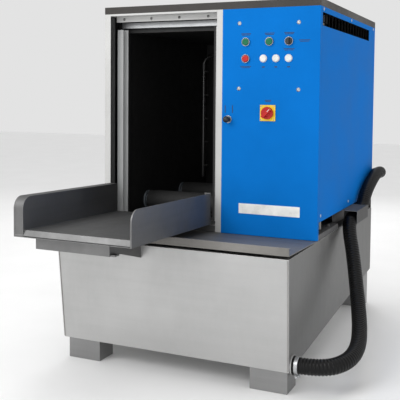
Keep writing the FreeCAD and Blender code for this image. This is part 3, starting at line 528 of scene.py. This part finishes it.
def spiral_hose(name, points):
    """A tube whose radius dips along a helix; returns the piece, its middle line and its length."""
    places, total = evenly(smooth_line(points), HOSE_PITCH / STEPS_PER_PITCH)
    bm = bmesh.new()
    rings = []
    for i, (place, (side, up)) in enumerate(zip(places, frames_along(places))):
        along = total * i / (len(places) - 1)
        ring = []
        for k in range(STEPS_ROUND_HOSE):
            angle = 2 * math.pi * k / STEPS_ROUND_HOSE
            wave = math.cos(2 * math.pi * along / HOSE_PITCH - angle)
            r = HOSE_RADIUS - GROOVE_DEPTH * (0.5 - 0.5 * wave) ** GROOVE_SHARPNESS
            ring.append(bm.verts.new(place + (side * math.cos(angle) + up * math.sin(angle)) * r))
        rings.append(ring)
    for ring, other in zip(rings, rings[1:]):
        bridge(bm, ring, other)
    bm.faces.new(rings[0])
    bm.faces.new(rings[-1])
    piece = piece_from(name, bm, HOSE, "cabinet")
    path = [tuple(place) for place in places[::STEPS_PER_PITCH]] + [tuple(places[-1])]
    return piece, path, total


suction, suction_path, suction_length = spiral_hose(
    "suction_hose_spiral", [machine(*point) for point in SUCTION_ROUTE])
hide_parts("suction_hose")


# ---------------------------------------------------------------- screws

# Where the cabinet's right side and its back lie, in its own coordinates.
CABINET_RIGHT = 940
CABINET_BACK = 1005


def screw_head(bm, centre, outward, radius, high):
    """Adds a domed screw head with a cross recess, and a thin washer under it.

    The named shares below are parts of the head's radius or height.
    """
    rim_drop = 0.92
    crown_height = 0.5
    recess_depth = 0.45
    recess_half_wide = 0.16
    recess_reach = 0.62
    steps = 48
    layers = 12
    outward = Vector(outward).normalized()
    side, up = cross_directions(outward)
    rings = []
    for share in [i / layers for i in range(1, layers + 1)]:
        ring = []
        for c, s in turns(steps):
            across = radius * share
            a, b = across * c, across * s
            lift = high * math.sqrt(max(0.0, 1 - rim_drop * share ** 2))
            if min(abs(a), abs(b)) < recess_half_wide * radius and share < recess_reach:
                lift -= recess_depth * high
            ring.append(bm.verts.new(centre + outward * lift + side * a + up * b))
        rings.append(ring)
    crown = bm.verts.new(centre + outward * crown_height * high)
    for k in range(steps):
        bm.faces.new((crown, rings[0][k], rings[0][(k + 1) % steps]))
    for ring, other in zip(rings, rings[1:]):
        bridge(bm, ring, other)
    rim = rings[-1]
    base = [bm.verts.new(v.co - outward * (v.co - centre).dot(outward)) for v in rim]
    bridge(bm, rim, base)
    washer_radius = radius * 1.35
    washer = [(washer_radius, 0), (washer_radius, 0.0006), (radius * 0.9, 0.0008)]
    turned_form(bm, washer, centre, outward)


def screws(name, places, outward, radius, high, material=ZINC):
    """One piece with the same screw at each place."""
    bm = bmesh.new()
    for place in places:
        screw_head(bm, place, outward, radius, high)
    return piece_from(name, bm, material, "cabinet")


def strip_screws():
    """The row of dark screws along the cover strip of the door rail."""
    first = 66
    pitch = 130.5
    screws("strip_screws", [machine(first + pitch * i, 50, 1353) for i in range(7)], FRONT,
           0.0042, 0.0022, DARK_SCREW)


def panel_screws():
    """The four screws at the corners of the control field on the blue front panel."""
    places = ((614, 1314), (855, 1311), (614, 1059), (857, 1056))
    piece = screws("panel_screws", [machine(x, 0, z) for x, z in places], FRONT, 0.0058, 0.0032)
    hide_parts("cover_screws")


def wall_screws():
    """The screws along the edges of the rear wall, the left wall and the side panel."""
    rear = [(x, z) for z in (500, 1345) for x in (40, 255, 470, 685, 900)]
    rear += [(x, z) for z in (780, 1060) for x in (40, 900)]
    screws("rear_wall_screws", [machine(x, CABINET_BACK, z) for x, z in rear], (0, 1, 0),
           0.005, 0.0026)
    left = [(y, z) for z in (500, 1345) for y in (80, 350, 650, 960)]
    screws("left_wall_screws", [machine(0, y, z) for y, z in left], (-1, 0, 0), 0.005, 0.0026)
    right = [(y, z) for z in (572, 1362) for y in (45, 500, 960)]
    screws("side_panel_screws", [machine(CABINET_RIGHT, y, z) for y, z in right], RIGHT,
           0.0045, 0.0022)


strip_screws()
panel_screws()
wall_screws()


# ---------------------------------------------------------------- weld beads

def weld_bead(name, start, end):
    """A rippled weld bead along a straight seam."""
    radius = 0.0026
    ripple_pitch = 0.0045
    rings_per_ripple = 4
    ripple = 0.16
    long = (end - start).length
    count = int(long / ripple_pitch * rings_per_ripple)
    profile = [(ON_AXIS, 0)]
    for i in range(count + 1):
        along = long * i / count
        swell = ripple * abs(math.sin(math.pi * along / ripple_pitch))
        profile.append((radius * (1 - ripple + swell), along))
    profile.append((ON_AXIS, long))
    bm = bmesh.new()
    turned_form(bm, profile, start, end - start, steps=10)
    piece_from(name, bm, WELD, "cabinet")


def tank_seam(name, top_x, foot_x):
    """The bead down one front corner of the tank, whose front leans back towards its foot."""
    weld_bead(name, machine(top_x, -349, 472), machine(foot_x, -329.5, 84))


tank_seam("weld_front_right", 936, 936)
tank_seam("weld_front_left", 3, 21)


# ---------------------------------------------------------------- printed marks and label

def caption(x, z, upper, lower, high):
    """Two bars one under the other, as (x, z, width, height), in place of two lines of words."""
    line_pitch = 5
    return [(x, z, upper, high), (x, z - line_pitch, lower, high)]


def printed_bars():
    """Short dark printed bars with no lettering on the front panel."""
    bars = []
    for x in (642, 739, 818):
        bars += caption(x, 1273, 40, 34, 2.6)
    bars += caption(879, 1244, 44, 36, 2.2)
    bars += caption(818, 1212, 44, 36, 2.2)
    bars += caption(642, 1146, 44, 36, 2.2)
    bars += [(x, 1143, 12, 4) for x in (715, 766, 817)]
    bars += caption(736, 1014, 26, 22, 2.6)
    bars += [(x, 978, 3, 30) for x in (557, 588)]
    bm = bmesh.new()
    for x, z, wide, high in bars:
        rounded_block(bm, machine(x, -0.15, z), (wide * MM, 0.0003, high * MM), 0.00008)
    piece_from("printed_bars", bm, INK, "cabinet", smooth=False)


def label_film():
    """The blank label, as large as its CAD plate, with rounded edges."""
    low, high = (Vector(corner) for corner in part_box("label_plate"))
    bm = bmesh.new()
    rounded_block(bm, (low + high) / 2, high - low, 0.0003)
    piece = piece_from("blank_label", bm, LABEL, "cabinet", smooth=False)
    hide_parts("label_plate")


printed_bars()
label_film()


# ---------------------------------------------------------------- hose fittings

ALONG_SPIGOT = Vector((1, 0, 0))


def clamp_band(bm, start, inner, outer, wide):
    """The clamp's band: a flat ring around the hose with its outer edges broken."""
    edge = 0.0006
    steps = 72
    rings = turned_form(bm, [(inner, 0), (outer - edge, 0), (outer, edge), (outer, wide - edge),
                             (outer - edge, wide), (inner, wide)], start, ALONG_SPIGOT, steps)
    bridge(bm, rings[-1], rings[0])


def worm_clamp():
    """The hose clamp: a band, its screw housing, the screw and a row of small teeth."""
    inner = 0.0298
    outer = 0.0318
    wide = 0.013
    housing_drop = Vector((0, 0, -0.0368))
    screw_drop = Vector((0, 0, -0.0378))
    start = machine(952, -290, 98)
    seat = start + ALONG_SPIGOT * wide / 2
    bm = bmesh.new()
    clamp_band(bm, start, inner, outer, wide)
    rounded_block(bm, seat + housing_drop, (0.015, 0.022, 0.009), 0.0012)
    screw = [(ON_AXIS, -0.017), (0.0042, -0.017), (0.0046, -0.0165), (0.0046, -0.012),
             (0.0032, -0.012), (0.0032, 0.015), (ON_AXIS, 0.015)]
    turned_form(bm, screw, seat + screw_drop, (0, 1, 0), steps=24)
    tooth = [(0.0004, 0), (0.0007, 0.0003), (0.0004, 0.0006)]
    tooth_sunk = 0.0002
    first_tooth = 0.15
    tooth_pitch = 0.07
    for i in range(11):
        angle = math.pi * (first_tooth + tooth_pitch * i)
        radial = Vector((0, -math.cos(angle), math.sin(angle)))
        turned_form(bm, tooth, seat + radial * (outer - tooth_sunk), radial, steps=8)
    piece = piece_from("worm_clamp", bm, ZINC, "cabinet", smooth=False)
    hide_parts("hose_clamp")
    return piece


clamp = worm_clamp()


def cuff(name, centre, axis, long):
    """A smooth cuff around an end of the hose."""
    bore = HOSE_RADIUS - 0.004
    outside = HOSE_RADIUS + 0.0024
    profile = [(bore, 0), (HOSE_RADIUS + 0.0018, 0), (outside, 0.0008), (outside, long - 0.001),
               (HOSE_RADIUS + 0.001, long), (bore, long)]
    bm = bmesh.new()
    turned_form(bm, profile, centre, axis, steps=48)
    piece_from(name, bm, HOSE, "cabinet")


cuff("suction_cuff", machine(946, -290, 98), (1, 0.04, 0), 0.005)
cuff("inlet_cuff", machine(780, 873, 590), (0, 1, 0), 0.022)


# ---------------------------------------------------------------- main switch

SWITCH_X = 736
SWITCH_Z = 965


def switch_mark():
    """The white mark on the main switch's grip, which points to the upper right at rest."""
    from_middle = Vector((0, 0, 0.014))
    diagonal = Matrix.Rotation(math.radians(45), 3, "Y")
    bm = bmesh.new()
    for corner in sized_cube(bm, (0.0022, 0.0005, 0.013)):
        corner.co = machine(SWITCH_X, -28.2, SWITCH_Z) + diagonal @ (corner.co + from_middle)
    piece_from("switch_mark", bm, LENS, "main_switch", smooth=False)


def switch_plate_screws():
    """The screws in the corners of the switch's plate."""
    places = [machine(SWITCH_X + dx, -4, SWITCH_Z + dz) for dx in (-26, 26) for dz in (-26, 26)]
    screws("switch_plate_screws", places, FRONT, 0.0019, 0.0009)


switch_mark()
switch_plate_screws()


# ---------------------------------------------------------------- floor

def make_floor():
    """A plain pale floor."""
    half_side = 14
    bm = bmesh.new()
    bmesh.ops.create_grid(bm, x_segments=1, y_segments=1, size=half_side)
    mesh = bpy.data.meshes.new("studio_floor")
    bm.to_mesh(mesh)
    bm.free()
    m = Shader("floor_paint")
    clouds = m.ramp(m.noise(scale=2.5, detail=3))
    m.set(base_color=m.mix(clouds, (0.90, 0.90, 0.90), (0.93, 0.93, 0.93)), roughness=0.6)
    mesh.materials.append(m.material)
    floor = bpy.data.objects.new("studio_floor", mesh)
    bpy.context.scene.collection.objects.link(floor)


make_floor()
